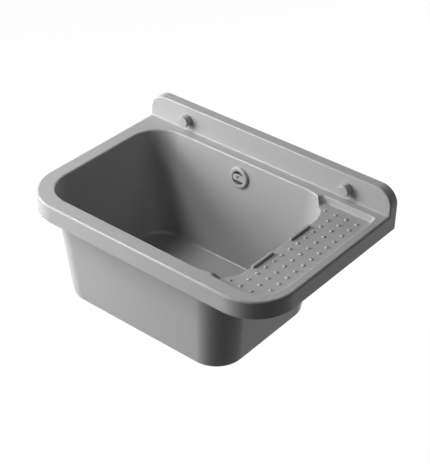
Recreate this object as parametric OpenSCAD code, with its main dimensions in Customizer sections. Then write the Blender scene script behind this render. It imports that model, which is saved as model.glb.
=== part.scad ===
// Wall-hung service sink: a one-piece moulded basin with a raised back panel, a right-hand
// drip tray, two pull-off screw covers, an overflow with a ribbed hose, and a screw waste.
// Millimetres. The origin is on the wall plane, on the centre line, level with the rim.
// +X runs right along the wall, +Y points into the wall, +Z is up.

/* [Basin] */
// full width along the wall
sink_w = 500; // [480:1:560]
// depth from the wall to the front of the rim
sink_d = 344; // [334:1:380]
// outer radius of the two front corners of the rim
rim_corner_r = 75; // [60:1:90]
// height of the skirt that hangs from the rim
skirt_h = 31; // [24:1:40]
// thickness of the skirt
skirt_t = 3; // [2.5:0.1:4]
// radius on the top outside edge of the rim
rim_edge_r = 4; // [2:0.1:5]
// thickness of every flat wall of the moulding
wall_t = 3.5; // [3:0.1:4.5]

/* [Bowl] */
// width of the bowl opening
bowl_w = 380; // [350:1:384]
// depth of the bowl opening, wall to front
bowl_l = 278.5; // [250:0.5:280]
// rim left of the bowl opening
bowl_left = 27; // [24:1:40]
// distance from the wall to the back edge of the bowl opening
bowl_back = 37.5; // [36.5:0.5:45]
// inside depth of the bowl at its walls
bowl_h = 201; // [150:1:215]
// slope of the bowl walls, sideways per unit of depth
bowl_taper = 0.094; // [0.06:0.002:0.12]
// inside corner radius of the bowl opening
bowl_corner_r = 54; // [44:1:60]
// radius on the edge of the bowl opening
bowl_edge_r = 3.5; // [2:0.1:4]
// inside radius between the bowl walls and its floor
floor_fillet = 6; // [4:1:16]
// fall of the floor from the walls to the drain
floor_fall = 3.5; // [2:0.5:8]

/* [Back panel] */
// height of the back panel above the rim
panel_h = 44; // [40:1:80]
// thickness of the back panel at the rim
panel_t = 19.2; // [18:0.1:20]
// thickness of the back panel at its top
panel_top_t = 17.7; // [17:0.1:17.9]
// radius of the two top corners of the back panel
panel_corner_r = 30; // [15:1:36]
// radius on the front edge of the back panel
panel_edge_r = 3; // [1.5:0.1:4]
// number of stiffening ribs behind the back panel
panel_ribs = 11; // [11:2:13]

/* [Drip tray] */
// depth of the tray floor below the rim
tray_h = 10.8; // [8:0.1:13]
// reach of the tray past the right edge of the bowl, at rim level
tray_notch = 28; // [24:1:32]
// run of the sloped ends of the tray
tray_ramp = 9; // [6:1:12]
// rim right of the tray
tray_rim = 16; // [14:1:20]
// radius on the top edge of the tray and on its edge to the bowl
tray_edge_r = 2.5; // [1.5:0.1:3]
// pitch of the pimples both ways
pimple_pitch = 20.2; // [19:0.1:20.4]
// diameter of a pimple at the tray floor
pimple_d = 7; // [5:0.5:9]
// height of a pimple
pimple_h = 1.8; // [1.2:0.1:2.2]
// height above the tray floor of the two ribs on the bowl edge
lip_rib_h = 4; // [3:0.5:7]

/* [Wall fixing] */
// distance of each wall hole from the end of the back panel
wall_hole_in = 83; // [70:1:100]
// height of the wall holes above the rim
wall_hole_z = 19.5; // [18:0.5:22]
// bore of the bushes for the wall bolts
wall_bore_d = 8.5; // [6.5:0.5:9.5]
// diameter of a screw cover
cover_d = 20; // [19.5:0.5:24]
// distance a screw cover stands out of the back panel
cover_h = 13.5; // [11:0.5:18]

/* [Overflow] */
// depth of the overflow centre below the rim
overflow_z = 32; // [30:1:40]
// diameter of the overflow hole in the bowl wall
overflow_hole_d = 30; // [28:0.5:31]
// outside diameter of the overflow rosette
rosette_d = 38; // [37:0.5:42]
// opening of the overflow rosette
rosette_bore_d = 25; // [22:0.5:26]
// outside diameter of the hose ribs
hose_d = 19; // [18:0.5:20]
// bore of the hose and of its two spigots
hose_bore_d = 13; // [11:0.5:13.5]
// pitch of the hose ribs
hose_pitch = 4.8; // [4.4:0.1:6]
// radius of the bend of the hose
hose_bend_r = 76; // [72:1:78]

/* [Waste] */
// diameter of the drain hole in the bowl floor
drain_hole_d = 52; // [50:0.5:54]
// diameter of the strainer plate
strainer_d = 74; // [70:0.5:80]
// outside diameter of the outlet tail, a 1 1/2 inch pipe thread
tail_d = 47.8; // [44:0.1:50]
// bore of the outlet tail
tail_bore_d = 40; // [32:0.5:41]
// length of the outlet tail below the waste body
tail_h = 30; // [25:1:45]

/* [Hidden] */
$fn = 96;
eps = 0.01;
gap = 0.3;
seat_gap = 0.1;
// overlap that makes two shapes of one piece run into each other
lap = 1;

half_w = sink_w / 2;
bowl_x0 = bowl_left - half_w;
bowl_x1 = bowl_x0 + bowl_w;
bowl_y1 = -bowl_back;
bowl_y0 = bowl_y1 - bowl_l;
bowl_cx = (bowl_x0 + bowl_x1) / 2;
bowl_cy = (bowl_y0 + bowl_y1) / 2;
// corner radii: the bowl narrows towards its floor
corner_draw = 0.032;
corner_steps = 12;
edge_steps = 4;
fillet_steps = 6;
// share of the wall by which the fillet outside the floor is larger than the one inside
fillet_growth = 0.7;
wall_angle = atan(bowl_taper);
// tray
tray_left = bowl_x1 - tray_notch;
tray_x1 = half_w - tray_rim;
tray_y1 = bowl_y1 + 3;
tray_y0 = bowl_y0 - 1;
tray_draft = 2;
tray_corner_r = rim_corner_r - 25;
tray_small_r = 7;
tray_foot_r = 2;
lip_rib_w = 5;
lip_rib_l = 49;
lip_rib_gap = 45.5;
lip_rib_shift = -4;
lip_rib_r = 1;
lip_rib_turn = 70;
lip_rib_back = 0.2;
// pimples start from the back right of the tray and keep clear of its walls and of the bowl
pimple_x1 = tray_x1 - 20.4;
pimple_y1 = tray_y1 - 21.5;
pimple_cols = floor((pimple_x1 - bowl_x1 + 6) / pimple_pitch) + 1;
pimple_rows = floor((pimple_y1 - tray_y0 - 17) / pimple_pitch) + 1;
pimple_from_bowl = 6;
pimple_from_corner = 8;
pimple_r = (pow(pimple_d / 2, 2) + pow(pimple_h, 2)) / (2 * pimple_h);
// back panel
panel_lean = (panel_t - panel_top_t) / panel_h;
panel_base_r = 2.5;
panel_rib_t = 3;
boss_d = 26;
bush_hole_d = 13;
bush_play = 0.25;
bush_flange_h = 4;
cover_seat_y = -17.4;
cover_seat_d = cover_d + 2 * gap;
cover_skin = 1.6;
cover_edge_r = 1.5;
// the cover reaches from its seat to cover_h in front of the panel face at that height
panel_at_cover = panel_t - panel_lean * wall_hole_z;
cover_l = panel_at_cover + cover_h + cover_seat_y - gap;
web_t = 3;
web_h = 120;
web_pitch = 180;
// drain, heights below the rim
floor_t = wall_t + 0.5;
drain_floor_z = -bowl_h - floor_fall;
drain_seat_h = 3;
drain_seat_z = drain_floor_z - drain_seat_h;
drain_seat_d = strainer_d + 4;
drain_boss_z = drain_seat_z - floor_t;
drain_boss_d = drain_seat_d + 8;
drain_roundness = 0.96;
gasket_t = drain_seat_h / 2;
well_d = 46;
well_draft = 3;
well_h = 9;
well_hole_d = 6;
well_hole_r = 12.5;
well_holes = 8;
low_gasket_t = 3;
waste_top_z = drain_boss_z - low_gasket_t;
waste_flange_h = 5;
waste_d = 58;
waste_bore_d = 50;
waste_h = 44;
waste_floor_h = 4;
waste_end_z = waste_top_z - waste_h;
tail_end_z = waste_end_z - tail_h;
hub_d = 15;
hub_h = 16;
hub_z = waste_top_z - 10 - hub_h;
hub_arm_w = 3.5;
waste_insert_d = 9;
// overflow, in a frame square to the back wall of the bowl: +Y out of the bowl, -Z down it
rosette_h = 4.8;
rosette_dome_r = 3;
rosette_foot_h = 2;
rosette_bar_w = 11;
rosette_bar_t = 3.6;
overflow_gasket_t = 2;
elbow_front = wall_t + overflow_gasket_t;
elbow_flange_d = 39;
elbow_flange_h = 3;
elbow_d = 36;
elbow_wall = 3;
elbow_l = 28;
post_d = 10;
post_z = elbow_front + 4;
post_web_t = 3;
elbow_insert_d = 6;
elbow_insert_l = 10;
spigot_y = wall_t + 17.5;
spigot_d = 24;
spigot_end = 32;
seal_t = 2;
hose_flange_t = 2;
hose_flange_d = spigot_d - 2 * seat_gap;
hose_rib_h = 1.8;
hose_sides = 12;
bore_rings = 18;
cuff_h = 6;
nut_d = 30;
nut_grip = 10;
nut_lip = 3;
nut_lobes = 12;
nut_lobe_r = 2;
overflow_y = bowl_y1 - bowl_taper * overflow_z;
// start of the hose in the sink's own frame
hose_top = spigot_end + seal_t;
hose_y0 = overflow_y + spigot_y * cos(wall_angle) - hose_top * sin(wall_angle);
hose_z0 = -overflow_z - spigot_y * sin(wall_angle) - hose_top * cos(wall_angle);
// end of the hose at the waste body
port_z = waste_top_z - 25;
port_len = 14;
port_y = bowl_cy + waste_d / 2 + port_len;
hose_y1 = port_y + seal_t;
bend_angle = 90 - wall_angle;
bend_t = hose_bend_r * tan(bend_angle / 2);
bend_l = bend_angle / 180 * PI * hose_bend_r;
hose_drop = (hose_z0 - port_z) / cos(wall_angle);
hose_knee_y = hose_y0 - hose_drop * sin(wall_angle);
hose_down = hose_drop - bend_t;
hose_run = hose_knee_y - bend_t - hose_y1;
// screws
m6_d = 6;
m6_head_d = 11;
m6_head_h = 3;
m6_l = 30;
m4_d = 4;
m4_head_d = 6.4;
m4_head_h = 1.8;
m4_seat = 1;
slot_w = 1.5;
slot_h = 1.4;
cross_w = 1;
cross_l = 4;

grey = [0.66, 0.66, 0.66];
white = [0.90, 0.90, 0.88];
steel = [0.72, 0.73, 0.74];
brass = [0.80, 0.62, 0.30];
dark = [0.16, 0.16, 0.16];
black = [0.10, 0.10, 0.10];

// ---------- shared shapes ----------

// outline of the rim: square at the wall, round at the two front corners
module rim_outline(inset = 0) {
    r = rim_corner_r - inset;
    x = half_w - inset;
    translate([-x, -sink_d + rim_corner_r]) square([2 * x, sink_d - rim_corner_r]);
    translate([-half_w + rim_corner_r, -sink_d + inset])
        square([sink_w - 2 * rim_corner_r, rim_corner_r + 1]);
    for (s = [-1, 1])
        translate([s * (half_w - rim_corner_r), -sink_d + rim_corner_r]) circle(r);
}

// the rounded rim edge and the skirt in one section: x runs outwards, 0 is the outside face
module skirt_section() {
    flat = rim_edge_r + lap;
    difference() {
        union() {
            translate([-skirt_t, -skirt_h]) square([skirt_t, skirt_h - rim_edge_r]);
            translate([-flat, -rim_edge_r]) square([lap, rim_edge_r]);
            intersection() {
                translate([-rim_edge_r, -rim_edge_r]) circle(rim_edge_r);
                translate([-rim_edge_r, -rim_edge_r]) square(rim_edge_r);
            }
        }
        translate([-skirt_t - flat, -wall_t - skirt_h]) square([flat, skirt_h]);
    }
}

module skirt() {
    side_l = sink_d - rim_corner_r;
    // left and right sides
    for (s = [-1, 1]) translate([s * half_w, 0, 0]) mirror([s < 0 ? 1 : 0, 0, 0])
        rotate([90, 0, 0]) linear_extrude(side_l) skirt_section();
    // front
    translate([-half_w + rim_corner_r, -sink_d, 0]) rotate([90, 0, 90])
        linear_extrude(sink_w - 2 * rim_corner_r) mirror([1, 0]) skirt_section();
    // front corners
    for (s = [0, 1]) mirror([s, 0, 0])
        translate([half_w - rim_corner_r, -sink_d + rim_corner_r, 0]) rotate([0, 0, -90])
            rotate_extrude(angle = 90) translate([rim_corner_r, 0]) skirt_section();
}

// a quarter turn round a corner
function corner(x, y, r, from) = [for (i = [0:corner_steps]) let (a = from + 90 * i / corner_steps)
    [x + r * cos(a), y + r * sin(a)]];

// rectangle with a radius at each corner: back right, back left, front left, front right
function rounded(x0, x1, y0, y1, r) = concat(
    corner(x1 - r[0], y1 - r[0], r[0], 0), corner(x0 + r[1], y1 - r[1], r[1], 90),
    corner(x0 + r[2], y0 + r[2], r[2], 180), corner(x1 - r[3], y0 + r[3], r[3], 270));

// solid through a rising stack of levels, each [height, outline]
module loft(levels) {
    n = len(levels[0][1]);
    last = (len(levels) - 1) * n;
    polyhedron(
        points = [for (level = levels) for (q = level[1]) [q[0], q[1], level[0]]],
        faces = concat([[for (i = [0:n - 1]) i]], [[for (i = [n - 1:-1:0]) last + i]],
            [for (k = [0:len(levels) - 2], i = [0:n - 1])
                let (a = k * n + i, b = k * n + (i + 1) % n)
                each [[a, a + n, b], [b, a + n, b + n]]]));
}

// the bowl wall at depth d: distance inside the opening and corner radius, t outside the face
function wall_inset(d, t) = bowl_taper * d - t / cos(wall_angle);
function wall_corner(d, t) = bowl_corner_r - corner_draw * d + t;
function bowl_ring(s, r) = rounded(bowl_x0 + s, bowl_x1 - s, bowl_y0 + s, bowl_y1 - s, [r, r, r, r]);

// rounding from the wall up to a level face at depth d
function wall_edge(d, r) = [for (i = [0:edge_steps])
    let (a = wall_angle + (90 - wall_angle) * i / edge_steps, s = wall_inset(d + r, r) + r * cos(a))
    [r * sin(a) - d - r, bowl_ring(s, wall_corner(d, 0) + wall_inset(d, 0) - s)]];

// rounding from the floor up to the wall
function wall_foot(depth, t) = let (r = floor_fillet + t * fillet_growth, d = depth - r)
    [for (i = [0:fillet_steps])
        let (a = 90 - (90 - wall_angle) * i / fillet_steps, s = r * cos(a))
        [-d - r * sin(a), bowl_ring(wall_inset(d, t - r) - s, wall_corner(d, t) - r + s)]];

// floor that falls to the drain
function drain_level(depth) = let (r = drain_boss_d / 2, c = r * drain_roundness)
    [[-depth - floor_fall, rounded(bowl_cx - r, bowl_cx + r, bowl_cy - r, bowl_cy + r, [c, c, c, c])]];

module bowl_inside() {
    edge = wall_edge(0, bowl_edge_r);
    loft(concat(drain_level(bowl_h), wall_foot(bowl_h, 0), edge, [[lap, edge[edge_steps][1]]]));
}

module bowl_outside() {
    loft(concat(drain_level(bowl_h + floor_t), wall_foot(bowl_h + floor_t, wall_t),
        [[-lap, bowl_ring(wall_inset(lap, wall_t), wall_corner(lap, wall_t))]]));
}

// outline of the tray at depth d, drawn out by t
function tray_ring(d, t) = let (k = d / tray_h) rounded(
    tray_left + tray_ramp * k - t, tray_x1 - tray_draft * k / 2 + t,
    tray_y0 + tray_draft * k / 2 - t, tray_y1 - tray_draft * k + t,
    [for (r = [tray_small_r, tray_small_r, tray_small_r, tray_corner_r]) r + t]);

module tray_inside() {
    loft(concat(
        [for (i = [0:edge_steps])
            let (a = 90 * i / edge_steps, d = tray_h - tray_foot_r * (1 - cos(a)))
            [-d, tray_ring(d, tray_foot_r * (sin(a) - 1))]],
        [for (i = [0:edge_steps]) let (a = 90 * i / edge_steps, d = tray_edge_r * (1 - sin(a)))
            [-d, tray_ring(d, tray_edge_r * (1 - cos(a)))]],
        [[lap, tray_ring(0, tray_edge_r)]]));
}

module tray_outside() {
    loft([[-tray_h - wall_t, tray_ring(tray_h, wall_t)], [-lap, tray_ring(0, wall_t)]]);
}

// rounded edge between the tray floor and the bowl
module tray_lip() {
    edge = wall_edge(tray_h, tray_edge_r);
    foot = tray_ring(tray_h, -tray_foot_r);
    intersection() {
        loft(concat(edge, [[lap - tray_h, edge[edge_steps][1]]]));
        loft([[-tray_h - 2 * tray_edge_r, foot], [lap, foot]]);
    }
}

module ring(od, id, h) {
    difference() {
        cylinder(h = h, d = od);
        translate([0, 0, -lap]) cylinder(h = h + 2 * lap, d = id);
    }
}

// turns a shape built along +Z so that +Z points out of the back wall of the bowl
module on_overflow() {
    translate([bowl_cx, overflow_y, -overflow_z]) rotate([-wall_angle, 0, 0])
        rotate([-90, 0, 0]) children();
}

// along the wall hole on side s, +Z pointing into the wall
module on_wall_hole(s) {
    translate([s * (half_w - wall_hole_in), 0, wall_hole_z]) rotate([-90, 0, 0]) children();
}

// at the drain axis
module on_drain() {
    translate([bowl_cx, bowl_cy, 0]) children();
}

// ---------- basin ----------

module panel_front(inset) {
    r = panel_corner_r - inset;
    x = half_w - inset;
    top = panel_h - inset;
    translate([-x, -skirt_h]) square([2 * x, skirt_h + panel_h - panel_corner_r]);
    translate([-half_w + panel_corner_r, 0]) square([sink_w - 2 * panel_corner_r, top]);
    for (s = [-1, 1])
        translate([s * (half_w - panel_corner_r), panel_h - panel_corner_r]) circle(r);
}

module back_panel() {
    r = panel_edge_r;
    corner_rs = [panel_corner_r, panel_corner_r, r + lap, r + lap];
    intersection() {
        multmatrix([[1, 0, 0, 0], [0, 1, panel_lean, 0], [0, 0, 1, 0]]) rotate([90, 0, 0])
            loft(concat([[-2 * lap, rounded(-half_w, half_w, -skirt_h, panel_h, corner_rs)]],
                [for (i = [0:edge_steps]) let (a = 90 * i / edge_steps, in = r * (1 - cos(a)))
                    [panel_t - r + r * sin(a), rounded(in - half_w, half_w - in,
                        in - skirt_h, panel_h - in, [for (c = corner_rs) c - in])]]));
        translate([-half_w, -panel_t - lap, -wall_t]) cube([sink_w, panel_t + lap, panel_h + wall_t]);
    }
    // rounded foot of the panel on the rim
    translate([rim_edge_r - half_w, 0, 0]) rotate([90, 0, 90])
        linear_extrude(sink_w - 2 * rim_edge_r) difference() {
            translate([-panel_t - panel_base_r, -lap]) square(panel_base_r + lap);
            translate([-panel_t + panel_base_r * (panel_lean - 1), panel_base_r]) circle(panel_base_r);
        }
}

// the hollow behind the back panel, cut into cells by ribs
module panel_cells() {
    cell_pitch = (sink_w - 2 * wall_t + panel_rib_t) / (panel_ribs + 1);
    difference() {
        translate([0, lap, 0]) rotate([90, 0, 0]) linear_extrude(panel_top_t - wall_t + lap)
            intersection() {
                panel_front(wall_t);
                translate([-half_w, 0]) square([sink_w, panel_h]);
            }
        for (i = [1:panel_ribs])
            translate([-half_w + wall_t - panel_rib_t + i * cell_pitch, -panel_t, -lap])
                cube([panel_rib_t, panel_t + 2 * lap, panel_h + 2 * lap]);
        for (s = [-1, 1]) on_wall_hole(s)
            translate([0, 0, -panel_t]) cylinder(h = panel_t + 2 * lap, d = boss_d);
    }
}

// two upright webs that carry the bowl against the wall
module wall_webs() {
    for (s = [-1, 1]) translate([bowl_cx + s * web_pitch / 2 - web_t / 2, 0, 0])
        rotate([90, 0, 90]) linear_extrude(web_t)
            polygon([[0, -lap], [0, -web_h], [bowl_y1 - bowl_taper * web_h, -web_h],
                [bowl_y1 - lap, -lap]]);
}

// distance from a point to a rounded corner whose centre lies a and b away
function past_corner(a, b, r) = norm([max(a, 0), max(b, 0)]) - r;

function pimple_fits(x, y) =
    past_corner(abs(x - bowl_cx) - bowl_w / 2 + bowl_corner_r,
        abs(y - bowl_cy) - bowl_l / 2 + bowl_corner_r, bowl_corner_r) > pimple_from_bowl
    && past_corner(x - tray_x1 + tray_corner_r,
        tray_y0 + tray_corner_r - y, tray_corner_r) < -pimple_from_corner;

module pimples() {
    for (i = [0:pimple_cols - 1], j = [0:pimple_rows - 1]) {
        x = pimple_x1 - i * pimple_pitch;
        y = pimple_y1 - j * pimple_pitch;
        if (pimple_fits(x, y)) translate([x, y, -tray_h]) intersection() {
            translate([0, 0, pimple_h - pimple_r]) sphere(pimple_r);
            translate([0, 0, -lap]) cylinder(h = pimple_h + 2 * lap, d = pimple_d + lap);
        }
    }
}

module lip_rib(y0) {
    x0 = bowl_x1 - lip_rib_back;
    x1 = x0 + lip_rib_w;
    y1 = y0 + lip_rib_l;
    r = lip_rib_r;
    top = lip_rib_h - tray_h - r;
    loft(concat([[-tray_h - tray_edge_r, rounded(x0, x1, y0, y1, [r, r, r, r])]],
        [for (i = [0:edge_steps])
            let (a = lip_rib_turn * i / edge_steps, in = r * (1 - cos(a)), c = r - in)
            [top + r * sin(a), rounded(x0 + in, x1 - in, y0 + in, y1 - in, [c, c, c, c])]]));
}

module lip_ribs() {
    middle = bowl_cy + lip_rib_shift;
    lip_rib(middle + lip_rib_gap / 2);
    lip_rib(middle - lip_rib_gap / 2 - lip_rib_l);
}

module basin() {
    color(grey) difference() {
        union() {
            difference() {
                union() {
                    // rim plate inside the skirt
                    translate([0, 0, -wall_t]) linear_extrude(wall_t) rim_outline(rim_edge_r);
                    // tray pan and bowl shell, both up to just under the rim face
                    tray_outside();
                    bowl_outside();
                    on_drain() translate([0, 0, drain_boss_z])
                        cylinder(h = -drain_boss_z - bowl_h, d = drain_boss_d);
                }
                tray_inside();
                tray_lip();
            }
            skirt();
            back_panel();
            wall_webs();
            pimples();
            lip_ribs();
        }
        bowl_inside();
        panel_cells();
        // wall holes and the flat seats of the covers
        for (s = [-1, 1]) on_wall_hole(s) {
            translate([0, 0, -panel_t - lap]) cylinder(h = panel_t + 2 * lap, d = bush_hole_d);
            translate([0, 0, -panel_t - lap])
                cylinder(h = panel_t + lap + cover_seat_y, d = cover_seat_d);
        }
        on_overflow() translate([0, 0, -2 * wall_t]) cylinder(h = 4 * wall_t, d = overflow_hole_d);
        on_drain() {
            translate([0, 0, drain_seat_z]) cylinder(h = drain_seat_h + lap, d = drain_seat_d);
            translate([0, 0, drain_boss_z - lap]) cylinder(h = 4 * wall_t, d = drain_hole_d);
        }
    }
}

// ---------- wall fixing ----------

module screw_cover(s) {
    r = cover_d / 2;
    color(grey) on_wall_hole(s) translate([0, 0, cover_seat_y - gap]) rotate([180, 0, 0])
        rotate_extrude() difference() {
            union() {
                square([r, cover_l - cover_edge_r]);
                square([r - cover_edge_r, cover_l]);
                translate([r - cover_edge_r, cover_l - cover_edge_r]) circle(cover_edge_r);
            }
            translate([-lap, -lap]) square([r - cover_skin + lap, cover_l - cover_skin + lap]);
            translate([-r, -lap]) square([r, cover_l + 2 * lap]);
        }
}

module wall_bush(s) {
    flange_d = cover_d - 2 * cover_skin - 2 * gap;
    color(white) on_wall_hole(s) difference() {
        union() {
            translate([0, 0, cover_seat_y - bush_flange_h])
                cylinder(h = bush_flange_h, d = flange_d);
            translate([0, 0, cover_seat_y - lap])
                cylinder(h = lap - cover_seat_y, d = bush_hole_d - 2 * bush_play);
        }
        translate([0, 0, -sink_d / 2]) cylinder(h = sink_d, d = wall_bore_d);
    }
}

// ---------- overflow ----------

module overflow_rosette() {
    r = rosette_d / 2;
    rb = rosette_bore_d / 2;
    color(grey) on_overflow() difference() {
        union() {
            rotate_extrude() intersection() {
                union() {
                    translate([rb, -rosette_foot_h]) square([r - rb, rosette_foot_h]);
                    translate([rb, -rosette_h])
                        square([r - rb - rosette_dome_r, rosette_h]);
                    translate([r - rosette_dome_r, -rosette_h + rosette_dome_r])
                        circle(rosette_dome_r);
                }
                translate([rb, -rosette_h]) square([r - rb, rosette_h]);
            }
            translate([-rb - lap, -rosette_bar_w / 2, -rosette_bar_t])
                cube([2 * rb + 2 * lap, rosette_bar_w, rosette_bar_t]);
        }
        translate([0, 0, -rosette_h]) cylinder(h = 2 * rosette_h, d = m4_d + 4 * seat_gap);
        translate([0, 0, -rosette_h])
            cylinder(h = rosette_h - m4_seat, d = m4_head_d + 4 * seat_gap);
    }
}

module overflow_screw() {
    color(steel) on_overflow() difference() {
        union() {
            translate([0, 0, -m4_seat - m4_head_h]) cylinder(h = m4_head_h, d = m4_head_d);
            translate([0, 0, -m4_seat - eps])
                cylinder(h = post_z + elbow_insert_l - lap + m4_seat, d = m4_d);
        }
        for (a = [0, 90]) rotate([0, 0, a])
            translate([-cross_l / 2, -cross_w / 2, -m4_seat - m4_head_h - lap])
                cube([cross_l, cross_w, cross_w + lap]);
    }
}

module overflow_gasket() {
    color(black) on_overflow() translate([0, 0, wall_t])
        ring(elbow_flange_d, overflow_hole_d, overflow_gasket_t);
}

module overflow_elbow() {
    inner_d = elbow_d - 2 * elbow_wall;
    post_l = elbow_front + elbow_l - elbow_wall - post_z + lap;
    web_z = post_z + 4;
    color(dark) on_overflow() difference() {
        union() {
            difference() {
                union() {
                    translate([0, 0, elbow_front])
                        cylinder(h = elbow_flange_h, d = elbow_flange_d);
                    translate([0, 0, elbow_front]) cylinder(h = elbow_l, d = elbow_d);
                    translate([0, 0, spigot_y]) rotate([-90, 0, 0])
                        cylinder(h = spigot_end, d = spigot_d);
                }
                translate([0, 0, elbow_front - lap])
                    cylinder(h = elbow_l - elbow_wall + lap, d = inner_d);
            }
            translate([0, 0, post_z]) cylinder(h = post_l, d = post_d);
            // a web ties the post to the chamber
            translate([-elbow_d / 2 + lap, -post_web_t / 2, web_z])
                cube([elbow_d - 2 * lap, post_web_t, post_l - web_z + post_z]);
        }
        translate([0, post_d / 2 + lap, spigot_y]) rotate([-90, 0, 0])
            cylinder(h = spigot_end, d = hose_bore_d);
        translate([0, 0, post_z - lap]) cylinder(h = elbow_insert_l + lap, d = elbow_insert_d);
    }
}

module overflow_insert() {
    color(brass) on_overflow() translate([0, 0, post_z])
        ring(elbow_insert_d, m4_d + 2 * seat_gap, elbow_insert_l);
}

// union nut built along +Z: the spigot enters from below, the hose leaves at the top
module union_nut() {
    body_h = nut_grip + seal_t + hose_flange_t;
    difference() {
        union() {
            cylinder(h = body_h + nut_lip, d = nut_d - nut_lobe_r);
            for (i = [0:nut_lobes - 1]) rotate([0, 0, i * 360 / nut_lobes])
                translate([nut_d / 2 - nut_lobe_r, 0, 0]) cylinder(h = body_h, r = nut_lobe_r);
        }
        translate([0, 0, -lap]) cylinder(h = body_h + lap, d = spigot_d + 2 * seat_gap);
        translate([0, 0, -lap]) cylinder(h = body_h + nut_lip + 2 * lap, d = hose_d + 2 * gap);
    }
}

// flat ring between a spigot and the end of the hose
module hose_seal() {
    ring(spigot_d - lap, hose_bore_d + lap, seal_t);
}

module upper_hose_nut() {
    color(white) on_overflow() translate([0, spigot_end - nut_grip, spigot_y])
        rotate([-90, 0, 0]) union_nut();
}

module upper_hose_seal() {
    color(black) on_overflow() translate([0, spigot_end, spigot_y])
        rotate([-90, 0, 0]) hose_seal();
}

module lower_hose_nut() {
    color(white) on_drain() translate([0, port_y - bowl_cy - nut_grip, port_z])
        rotate([-90, 0, 0]) union_nut();
}

module lower_hose_seal() {
    color(black) on_drain() translate([0, port_y - bowl_cy, port_z])
        rotate([-90, 0, 0]) hose_seal();
}

// middle of the hose, its turn and its rings, all by the length l run from the upper end
function hose_turn(l) = bend_angle * (1 - max(0, min(1, (l - hose_down) / bend_l)));
function hose_middle(l) = [
    hose_knee_y - bend_t + hose_bend_r * sin(hose_turn(l))
        + max(0, hose_down - l) * sin(wall_angle) - max(0, l - hose_down - bend_l),
    port_z + hose_bend_r * (1 - cos(hose_turn(l))) + max(0, hose_down - l) * cos(wall_angle)
];
function hose_ring(l, r) = [for (k = [0:hose_sides - 1]) let (a = 360 * k / hose_sides)
    [bowl_cx + r * cos(a),
        hose_middle(l)[0] + r * sin(a) * sin(hose_turn(l)),
        hose_middle(l)[1] - r * sin(a) * cos(hose_turn(l))]];

module overflow_hose() {
    total = hose_down + bend_l + hose_run;
    cuff_end = hose_flange_t + cuff_h + nut_lip;
    rib_r = hose_d / 2;
    valley_r = rib_r - hose_rib_h;
    ribs = floor((total - 2 * cuff_end) / hose_pitch);
    first_rib = (total - ribs * hose_pitch) / 2;
    cuff = [[0, hose_flange_d / 2], [hose_flange_t, hose_flange_d / 2],
        [hose_flange_t, rib_r], [cuff_end, rib_r], [cuff_end, valley_r]];
    ribbing = [for (i = [0:ribs - 1], q = [[0.25, 0], [0.25, 1], [0.75, 1], [0.75, 0]])
        [first_rib + (i + q[0]) * hose_pitch, q[1] > 0 ? rib_r : valley_r]];
    lower_cuff = [for (i = [len(cuff) - 1:-1:0]) [total - cuff[i][0], cuff[i][1]]];
    bore = [for (l = concat([total], [for (i = [bore_rings:-1:0])
        hose_down + i * bend_l / bore_rings], [0])) [l, hose_bore_d / 2]];
    outline = concat(cuff, ribbing, lower_cuff, bore);
    n = len(outline) * hose_sides;
    color(white) polyhedron(
        points = [for (q = outline) each hose_ring(q[0], q[1])],
        faces = [for (i = [0:len(outline) - 1], k = [0:hose_sides - 1])
            let (a = i * hose_sides, b = a + hose_sides, next = (k + 1) % hose_sides)
            each [[a + k, (b + k) % n, a + next], [(b + k) % n, (b + next) % n, a + next]]]);
}

// ---------- waste ----------

module strainer_plate() {
    plate_t = gasket_t;
    foot_d = well_d - 2 * well_draft;
    color(steel) on_drain() translate([0, 0, drain_floor_z - plate_t]) difference() {
        union() {
            cylinder(h = plate_t, d = strainer_d);
            translate([0, 0, -well_h]) cylinder(h = well_h, d1 = foot_d, d2 = well_d);
        }
        translate([0, 0, -well_h + plate_t])
            cylinder(h = well_h + eps, d1 = foot_d - 2 * plate_t, d2 = well_d - 2 * plate_t);
        for (i = [0:well_holes - 1]) rotate([0, 0, (i + 0.5) * 360 / well_holes])
            translate([well_hole_r, 0, -well_h - lap])
                cylinder(h = plate_t + 2 * lap, d = well_hole_d);
        translate([0, 0, -well_h - lap])
            cylinder(h = plate_t + 2 * lap, d = m6_d + 2 * seat_gap);
    }
}

module strainer_screw() {
    head_z = drain_floor_z - well_h;
    color(steel) on_drain() difference() {
        union() {
            translate([0, 0, head_z]) cylinder(h = m6_head_h, d = m6_head_d);
            translate([0, 0, head_z - m6_l]) cylinder(h = m6_l + eps, d = m6_d);
        }
        translate([-m6_head_d, -slot_w / 2, head_z + m6_head_h - slot_h])
            cube([2 * m6_head_d, slot_w, 2 * slot_h]);
    }
}

module upper_waste_gasket() {
    color(black) on_drain() translate([0, 0, drain_seat_z])
        ring(strainer_d, drain_hole_d + lap, gasket_t);
}

module lower_waste_gasket() {
    color(black) on_drain() translate([0, 0, waste_top_z])
        ring(strainer_d, drain_hole_d + lap, low_gasket_t);
}

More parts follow.
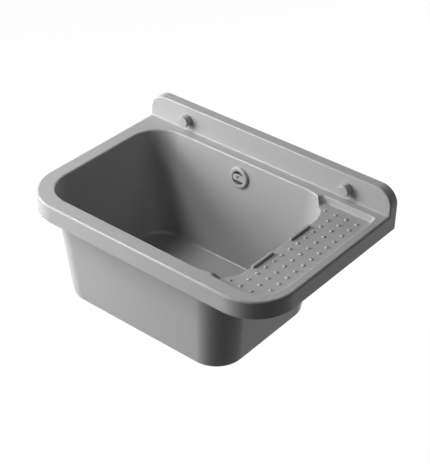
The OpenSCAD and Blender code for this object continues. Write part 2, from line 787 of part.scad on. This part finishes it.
module waste_body() {
    color(white) on_drain() difference() {
        union() {
            difference() {
                union() {
                    translate([0, 0, waste_top_z - waste_flange_h])
                        cylinder(h = waste_flange_h, d = strainer_d);
                    translate([0, 0, waste_end_z]) cylinder(h = waste_h, d = waste_d);
                    translate([0, 0, tail_end_z]) cylinder(h = tail_h + lap, d = tail_d);
                    translate([0, 0, port_z]) rotate([-90, 0, 0])
                        cylinder(h = waste_d / 2 + port_len, d = spigot_d);
                }
                translate([0, 0, waste_end_z + waste_floor_h])
                    cylinder(h = waste_h, d = waste_bore_d);
                translate([0, 0, tail_end_z - lap]) cylinder(h = tail_h + waste_h / 2, d = tail_bore_d);
                translate([0, 0, port_z]) rotate([-90, 0, 0])
                    cylinder(h = waste_d + port_len, d = hose_bore_d);
            }
            // hub for the strainer screw on three arms, clear of the hose port
            translate([0, 0, hub_z]) cylinder(h = hub_h, d = hub_d);
            for (a = [30, 150, 270]) rotate([0, 0, a]) translate([0, -hub_arm_w / 2, hub_z])
                cube([waste_bore_d / 2 + lap, hub_arm_w, hub_h]);
        }
        translate([0, 0, hub_z - lap]) cylinder(h = hub_h + 2 * lap, d = waste_insert_d);
    }
}

module waste_insert() {
    color(brass) on_drain() translate([0, 0, hub_z])
        ring(waste_insert_d, m6_d + 2 * seat_gap, hub_h);
}

basin();
screw_cover(-1);  // left_screw_cover
screw_cover(1);  // right_screw_cover
wall_bush(-1);  // left_wall_bush
wall_bush(1);  // right_wall_bush
overflow_rosette();
overflow_screw();
overflow_gasket();
overflow_elbow();
overflow_insert();
overflow_hose();
upper_hose_nut();
upper_hose_seal();
lower_hose_nut();
lower_hose_seal();
strainer_plate();
strainer_screw();
upper_waste_gasket();
lower_waste_gasket();
waste_body();
waste_insert();
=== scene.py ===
# Looks of the wall-hung service sink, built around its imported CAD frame. Metres, wall at y = 0,
# rim at z = 0, +X right along the wall, +Y into the wall.
import math

import bpy
from mathutils import Matrix, Vector


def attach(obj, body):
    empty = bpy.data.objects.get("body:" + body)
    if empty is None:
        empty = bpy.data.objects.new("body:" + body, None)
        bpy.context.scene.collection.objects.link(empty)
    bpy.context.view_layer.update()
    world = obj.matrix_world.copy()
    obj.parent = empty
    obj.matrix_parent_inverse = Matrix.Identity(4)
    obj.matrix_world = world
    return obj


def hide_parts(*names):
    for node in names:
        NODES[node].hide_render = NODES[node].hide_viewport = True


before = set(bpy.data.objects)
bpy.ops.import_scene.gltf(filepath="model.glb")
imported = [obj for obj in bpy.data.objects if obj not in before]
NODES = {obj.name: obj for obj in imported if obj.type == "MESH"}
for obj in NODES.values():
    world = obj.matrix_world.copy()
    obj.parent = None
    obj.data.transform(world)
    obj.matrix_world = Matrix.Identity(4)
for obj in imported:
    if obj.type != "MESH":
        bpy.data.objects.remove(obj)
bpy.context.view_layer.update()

# ---------- camera ----------
# Solved from the straight edges of the sink; the offsets shift it off the line to TARGET.

AZIMUTH = math.radians(38.76)
ELEVATION = math.radians(34.85)
ROLL = math.radians(1.04)
TARGET = Vector((0.0, -0.175, -0.080))
OFFSET_X = -0.0192
OFFSET_Y = -0.01695
DISTANCE = 2.1159
FOCAL_PX = 1301.16
FRAME_PX = 430.0
SENSOR_MM = 36.0


def make_camera():
    back = Vector((math.sin(AZIMUTH) * math.cos(ELEVATION),
                   -math.cos(AZIMUTH) * math.cos(ELEVATION), math.sin(ELEVATION)))
    level_right = (-back).cross(Vector((0, 0, 1))).normalized()
    level_up = level_right.cross(-back)
    right = math.cos(ROLL) * level_right + math.sin(ROLL) * level_up
    up = -math.sin(ROLL) * level_right + math.cos(ROLL) * level_up
    data = bpy.data.cameras.new("camera")
    data.sensor_fit = "HORIZONTAL"
    data.sensor_width = SENSOR_MM
    data.lens = FOCAL_PX / FRAME_PX * SENSOR_MM
    data.clip_start = 0.05
    data.clip_end = 50.0
    cam = bpy.data.objects.new("camera", data)
    bpy.context.scene.collection.objects.link(cam)
    place = TARGET - OFFSET_X * right - OFFSET_Y * up + DISTANCE * back
    turn = Matrix((right, up, back)).transposed().to_4x4()
    cam.matrix_world = Matrix.Translation(place) @ turn
    bpy.context.scene.camera = cam


make_camera()


# ---------- node helpers ----------

def new_material(name):
    mat = bpy.data.materials.new(name)
    mat.use_nodes = True
    tree = mat.node_tree
    tree.nodes.clear()
    out = tree.nodes.new("ShaderNodeOutputMaterial")
    bsdf = tree.nodes.new("ShaderNodeBsdfPrincipled")
    tree.links.new(bsdf.outputs[0], out.inputs[0])
    return mat, tree, bsdf


def add(tree, kind, **values):
    node = tree.nodes.new(kind)
    for key, value in values.items():
        if key in node.inputs:
            node.inputs[key].default_value = value
        else:
            setattr(node, key, value)
    return node


def ramp(tree, source, stops):
    """Maps a value to two stops, each a place and a grey value or a colour."""
    node = tree.nodes.new("ShaderNodeValToRGB")
    tree.links.new(source, node.inputs[0])
    for element, (place, value) in zip(node.color_ramp.elements, stops):
        element.position = place
        element.color = (*value, 1.0) if isinstance(value, tuple) else (value, value, value, 1.0)
    return node.outputs[0]


CLOUD_SCALE = 14.0
FLOW_SCALE = 45.0
FLOW_SPREAD = 0.01
GRAIN_DEPTH = 0.0002
MARK_SCALE = 260.0
MARK_STRETCH = (1.0, 1.0, 40.0)
MARK_BUMP = 0.1
MARK_DEPTH = 0.0001
MARK_DARKENING = 0.9
MARK_ROUGHENING = 0.15


def plastic(name, shade, rough, grain=900.0, bump=0.06, specular=0.5, mottling=0.03):
    """Moulded plastic: faint cloudy tone, a fine satin grain and a slightly uneven shine."""
    mat, tree, bsdf = new_material(name)
    coords = tree.nodes.new("ShaderNodeTexCoord").outputs["Object"]
    cloud = add(tree, "ShaderNodeTexNoise", Scale=CLOUD_SCALE, Detail=3.0, Roughness=0.5)
    fine = add(tree, "ShaderNodeTexNoise", Scale=grain, Detail=2.0, Roughness=0.6)
    flow = add(tree, "ShaderNodeTexNoise", Scale=FLOW_SCALE, Detail=2.0)
    for node in (cloud, fine, flow):
        tree.links.new(coords, node.inputs["Vector"])
    low = tuple(c * (1 - mottling) for c in shade)
    high = tuple(min(c * (1 + mottling), 1.0) for c in shade)
    tone = ramp(tree, cloud.outputs[0], [(0.3, low), (0.7, high)])
    tree.links.new(tone, bsdf.inputs["Base Color"])
    shine = ramp(tree, flow.outputs[0], [(0.1, rough - FLOW_SPREAD), (0.9, rough + FLOW_SPREAD)])
    tree.links.new(shine, bsdf.inputs["Roughness"])
    relief = add(tree, "ShaderNodeBump", Strength=bump, Distance=GRAIN_DEPTH)
    tree.links.new(fine.outputs[0], relief.inputs["Height"])
    tree.links.new(relief.outputs[0], bsdf.inputs["Normal"])
    bsdf.inputs["Specular IOR Level"].default_value = specular
    return mat


def metal(name, shade, rough):
    """Worked metal: fine tool marks in one direction and a slightly uneven shine."""
    mat, tree, bsdf = new_material(name)
    coords = tree.nodes.new("ShaderNodeTexCoord").outputs["Object"]
    mapping = tree.nodes.new("ShaderNodeMapping")
    mapping.inputs["Scale"].default_value = MARK_STRETCH
    tree.links.new(coords, mapping.inputs["Vector"])
    marks = add(tree, "ShaderNodeTexNoise", Scale=MARK_SCALE, Detail=3.0)
    tree.links.new(mapping.outputs[0], marks.inputs["Vector"])
    low = tuple(c * MARK_DARKENING for c in shade)
    tone = ramp(tree, marks.outputs[0], [(0.3, low), (0.7, shade)])
    tree.links.new(tone, bsdf.inputs["Base Color"])
    shine = ramp(tree, marks.outputs[0], [(0.3, rough), (0.7, rough + MARK_ROUGHENING)])
    tree.links.new(shine, bsdf.inputs["Roughness"])
    relief = add(tree, "ShaderNodeBump", Strength=MARK_BUMP, Distance=MARK_DEPTH)
    tree.links.new(marks.outputs[0], relief.inputs["Height"])
    tree.links.new(relief.outputs[0], bsdf.inputs["Normal"])
    bsdf.inputs["Metallic"].default_value = 1.0
    return mat


GREY = plastic("grey_plastic", (0.42, 0.42, 0.42), 0.2, specular=0.28, mottling=0.01)
COVER = plastic("cover_plastic", (0.43, 0.43, 0.43), 0.2, specular=0.28, mottling=0.01)
# The overflow elbow's colour is a guess for a hidden piece. It is made near-black so the rosette's
# openings, where it shows, look dark: painted shade standing in for the shade inside them.
ELBOW = plastic("elbow_plastic", (0.02, 0.02, 0.02), 0.4, specular=0.3)
FITTING = plastic("fitting_plastic", (0.72, 0.72, 0.70), 0.35)
HOSE = plastic("hose_plastic", (0.66, 0.66, 0.65), 0.38)
RUBBER = plastic("seal_rubber", (0.03, 0.03, 0.03), 0.7, grain=500.0)
STEEL = metal("steel", (0.60, 0.61, 0.62), 0.25)
BRASS = metal("brass", (0.62, 0.44, 0.16), 0.3)

LOOKS = {
    "basin": GREY, "left_screw_cover": COVER, "right_screw_cover": COVER,
    "left_wall_bush": FITTING, "right_wall_bush": FITTING, "overflow_rosette": COVER,
    "overflow_screw": STEEL, "overflow_gasket": RUBBER, "overflow_elbow": ELBOW,
    "overflow_insert": BRASS, "overflow_hose": HOSE, "upper_hose_nut": FITTING,
    "upper_hose_seal": RUBBER, "lower_hose_nut": FITTING, "lower_hose_seal": RUBBER,
    "strainer_plate": STEEL, "strainer_screw": STEEL, "upper_waste_gasket": RUBBER,
    "lower_waste_gasket": RUBBER, "waste_body": FITTING, "waste_insert": BRASS,
}
for name, material in LOOKS.items():
    slots = NODES[name].data.materials
    slots.clear()
    slots.append(material)


# ---------- edges of the CAD solids ----------

WELD_DISTANCE = 0.000005
FLAT_ANGLE = math.radians(1.0)
EDGE_ANGLE = math.radians(35.0)
EDGE_WIDTH = 0.0003


def smooth(obj, width):
    """Shades a CAD solid smooth between its true edges.

    Edges are bevelled by the width, or stay sharp where it is 0, for a solid with CAD fillets.
    """
    weld = obj.modifiers.new("weld", "WELD")
    weld.merge_threshold = WELD_DISTANCE
    flat = obj.modifiers.new("flat", "DECIMATE")
    flat.decimate_type = "DISSOLVE"
    flat.angle_limit = FLAT_ANGLE
    if width:
        bevel = obj.modifiers.new("edges", "BEVEL")
        bevel.width = width
        bevel.segments = 2
        bevel.limit_method = "ANGLE"
        bevel.angle_limit = EDGE_ANGLE
    else:
        split = obj.modifiers.new("split", "EDGE_SPLIT")
        split.split_angle = EDGE_ANGLE
    normals = obj.modifiers.new("normals", "WEIGHTED_NORMAL")
    normals.keep_sharp = True
    obj.data.shade_smooth()


for name in LOOKS:
    smooth(NODES[name], 0.0 if name == "basin" else EDGE_WIDTH)


# ---------- overflow hose and outlet thread ----------

# The hose runs down the bowl's sloping back wall, bends, and runs level into the waste body.
# It starts at HOSE_Y0, HOSE_Z0 and ends at HOSE_Y1, PORT_Z, as the CAD hose does.

BOWL_X = -0.033
BOWL_Y = -0.17675
WALL_SLOPE = 0.094
WALL_ANGLE = math.atan(WALL_SLOPE)
HOSE_Y0 = -0.022783
HOSE_Z0 = -0.067816
PORT_Z = -0.2395
HOSE_Y1 = -0.13175
BEND_R = 0.076
RIB_R = 0.0095
VALLEY_R = 0.0077
BORE_R = 0.0065
FLANGE_R = 0.0119
FLANGE_T = 0.002
CUFF_END = 0.011
RIB_PITCH = 0.0048
RIB_STEPS = 14
RIB_FULLNESS = 1.35
RIB_POWER = 0.62
BORE_STEPS = 40
CHAMFER = 0.0002
CUFF_BREAK = 0.0006
CUFF_STEP = 0.0001
CUFF_DROP = 0.0004
HOSE_SIDES = 40
HOSE_EDGE_ANGLE = math.radians(60)

BEND_ANGLE = math.pi / 2 - WALL_ANGLE
BEND_CUT = BEND_R * math.tan(BEND_ANGLE / 2)
BEND_LENGTH = BEND_ANGLE * BEND_R
DROP = (HOSE_Z0 - PORT_Z) / math.cos(WALL_ANGLE)
KNEE_Y = HOSE_Y0 - DROP * math.sin(WALL_ANGLE)
DOWN = DROP - BEND_CUT
RUN = KNEE_Y - BEND_CUT - HOSE_Y1
HOSE_LENGTH = DOWN + BEND_LENGTH + RUN


def mesh_piece(name, points, faces, material, sharp_angle):
    mesh = bpy.data.meshes.new(name)
    mesh.from_pydata(points, [], faces)
    mesh.shade_smooth()
    mesh.materials.append(material)
    obj = bpy.data.objects.new(name, mesh)
    bpy.context.scene.collection.objects.link(obj)
    sharp = obj.modifiers.new("split", "EDGE_SPLIT")
    sharp.split_angle = sharp_angle
    return obj


def hose_point(along, radius, turn):
    """A point round the hose's middle line, at a distance along it, a radius and an angle."""
    bent = BEND_ANGLE * (1 - max(0.0, min(1.0, (along - DOWN) / BEND_LENGTH)))
    y = (KNEE_Y - BEND_CUT + BEND_R * math.sin(bent)
         + max(0.0, DOWN - along) * math.sin(WALL_ANGLE) - max(0.0, along - DOWN - BEND_LENGTH))
    z = (PORT_Z + BEND_R * (1 - math.cos(bent)) + max(0.0, DOWN - along) * math.cos(WALL_ANGLE))
    out = radius * math.sin(turn)
    return (BOWL_X + radius * math.cos(turn), y + out * math.sin(bent), z - out * math.cos(bent))


def hose_outline():
    """Distance along the hose and radius: flange, cuff, rounded ribs, cuff, flange, bore."""
    ribs = int((HOSE_LENGTH - 2 * CUFF_END) / RIB_PITCH)
    first = (HOSE_LENGTH - ribs * RIB_PITCH) / 2
    end = [(0.0, FLANGE_R - CHAMFER), (CHAMFER, FLANGE_R), (FLANGE_T - CHAMFER, FLANGE_R),
           (FLANGE_T, FLANGE_R - CHAMFER), (FLANGE_T, RIB_R), (CUFF_END - CUFF_BREAK, RIB_R),
           (CUFF_END - CUFF_STEP, RIB_R - CUFF_DROP), (CUFF_END, VALLEY_R)]
    wave = []
    for i in range(ribs):
        for k in range(RIB_STEPS):
            lift = 0.5 - 0.5 * math.cos(2 * math.pi * k / RIB_STEPS)
            full = min(1.0, RIB_FULLNESS * lift ** RIB_POWER)
            wave.append((first + (i + k / RIB_STEPS) * RIB_PITCH,
                         VALLEY_R + (RIB_R - VALLEY_R) * full))
    other = [(HOSE_LENGTH - along, radius) for along, radius in reversed(end)]
    bore = [(HOSE_LENGTH * (1 - k / BORE_STEPS), BORE_R) for k in range(BORE_STEPS + 1)]
    return end + wave + other + bore


def make_hose():
    """A closed skin: the outline's last ring joins its first."""
    outline = hose_outline()
    points = [hose_point(along, radius, 2 * math.pi * k / HOSE_SIDES)
              for along, radius in outline for k in range(HOSE_SIDES)]
    count = len(points)
    faces = []
    for i in range(len(outline)):
        for k in range(HOSE_SIDES):
            a, b = i * HOSE_SIDES + k, i * HOSE_SIDES + (k + 1) % HOSE_SIDES
            faces.append((a, (a + HOSE_SIDES) % count, (b + HOSE_SIDES) % count, b))
    hose = mesh_piece("ribbed_hose", points, faces, HOSE, HOSE_EDGE_ANGLE)
    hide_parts("overflow_hose")
    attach(hose, "sink")


THREAD_TOP = -0.2645
THREAD_LENGTH = 0.0215
THREAD_CORE = 0.0239
THREAD_CREST = 0.0245
THREAD_PITCH = 0.002309
THREAD_SUNK = 0.0002
THREAD_FOOT = 0.42
THREAD_TIP = 0.1
TURN_STEPS = 72


def make_thread():
    """A helical ridge round the outlet tail that rises and fades over half a turn at its ends."""
    count = int(THREAD_LENGTH / THREAD_PITCH * TURN_STEPS)
    foot = THREAD_CORE - THREAD_SUNK
    points, faces = [], []
    for i in range(count + 1):
        angle = 2 * math.pi * i / TURN_STEPS
        z = THREAD_TOP - THREAD_PITCH * i / TURN_STEPS
        fade = min(1.0, i / TURN_STEPS * 2, (count - i) / TURN_STEPS * 2)
        tip = THREAD_CORE + (THREAD_CREST - THREAD_CORE) * fade
        profile = ((foot, THREAD_FOOT), (tip, THREAD_TIP), (tip, -THREAD_TIP), (foot, -THREAD_FOOT))
        for radius, shift in profile:
            points.append((BOWL_X + radius * math.cos(angle), BOWL_Y + radius * math.sin(angle),
                           z + shift * THREAD_PITCH))
    for i in range(count):
        for k in range(4):
            a, b = 4 * i + k, 4 * i + (k + 1) % 4
            faces.append((a, b, b + 4, a + 4))
    faces.append((3, 2, 1, 0))
    faces.append(tuple(4 * count + k for k in range(4)))
    thread = mesh_piece("outlet_thread", points, faces, FITTING, EDGE_ANGLE)
    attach(thread, "sink")


make_hose()
make_thread()


# ---------- floor and light ----------
# The floor looks white to the camera and in reflections, but is dark to the lamps, so it throws
# little light at the sink. The sink's shadow on it doesn't show for the same reason.

FLOOR_Z = -0.62
FLOOR_HALF = 6.0
FLOOR_SHADE = 0.06
FLOOR_GLOW = 0.96
LIGHT_TARGET = Vector((0, -0.17, -0.08))

def background_rays(tree):
    """1 where the camera, a reflection or a refraction looks at the background, else 0."""
    path = tree.nodes.new("ShaderNodeLightPath")
    seen = path.outputs["Is Camera Ray"]
    for kind in ("Is Glossy Ray", "Is Transmission Ray"):
        either = add(tree, "ShaderNodeMath", operation="MAXIMUM")
        tree.links.new(seen, either.inputs[0])
        tree.links.new(path.outputs[kind], either.inputs[1])
        seen = either.outputs[0]
    return seen


def make_floor():
    mesh = bpy.data.meshes.new("floor")
    mesh.from_pydata([(x * FLOOR_HALF, y * FLOOR_HALF, 0)
                      for x, y in ((-1, -1), (1, -1), (1, 1), (-1, 1))], [], [(0, 1, 2, 3)])
    floor = bpy.data.objects.new("floor", mesh)
    bpy.context.scene.collection.objects.link(floor)
    floor.location = (0, 0, FLOOR_Z)
    mat, tree, bsdf = new_material("floor_white")
    bsdf.inputs["Base Color"].default_value = (FLOOR_SHADE, FLOOR_SHADE, FLOOR_SHADE, 1)
    bsdf.inputs["Roughness"].default_value = 0.9
    bsdf.inputs["Specular IOR Level"].default_value = 0.0
    glow = add(tree, "ShaderNodeEmission")
    strength = add(tree, "ShaderNodeMath", operation="MULTIPLY")
    strength.inputs[1].default_value = FLOOR_GLOW
    tree.links.new(background_rays(tree), strength.inputs[0])
    tree.links.new(strength.outputs[0], glow.inputs["Strength"])
    both = tree.nodes.new("ShaderNodeAddShader")
    tree.links.new(bsdf.outputs[0], both.inputs[0])
    tree.links.new(glow.outputs[0], both.inputs[1])
    out = next(n for n in tree.nodes if n.type == "OUTPUT_MATERIAL")
    tree.links.new(both.outputs[0], out.inputs[0])
    mesh.materials.append(mat)


def area_light(name, direction, distance, size, power):
    """A square light in the given direction from the middle of the sink, turned to face it."""
    data = bpy.data.lights.new(name, "AREA")
    data.shape = "SQUARE"
    data.size = size
    data.energy = power
    obj = bpy.data.objects.new(name, data)
    bpy.context.scene.collection.objects.link(obj)
    aim = Vector(direction).normalized()
    obj.location = LIGHT_TARGET + aim * distance
    obj.rotation_euler = aim.to_track_quat("Z", "Y").to_euler()


def make_world():
    """White where it is looked at; it lights nothing."""
    world = bpy.data.worlds.new("world")
    bpy.context.scene.world = world
    world.use_nodes = True
    tree = world.node_tree
    tree.nodes.clear()
    shown = add(tree, "ShaderNodeBackground")
    shown.inputs["Color"].default_value = (1, 1, 1, 1)
    tree.links.new(background_rays(tree), shown.inputs["Strength"])
    out = tree.nodes.new("ShaderNodeOutputWorld")
    tree.links.new(shown.outputs[0], out.inputs[0])


make_floor()
area_light("soft_left", (-0.832, -0.481, 0.276), distance=1.7, size=1.1, power=38.0)
area_light("key_high", (-0.515, -0.447, 0.731), distance=1.7, size=0.42, power=14.0)
area_light("key_low", (-0.518, -0.798, 0.309), distance=1.7, size=0.42, power=5.5)
area_light("rim_right", (0.791, 0.212, 0.574), distance=3.0, size=2.6, power=2.5)
area_light("back_fill", (0.10, 0.985, 0.14), distance=2.2, size=1.2, power=22.0)
make_world()

bpy.context.scene.view_settings.view_transform = "Standard"
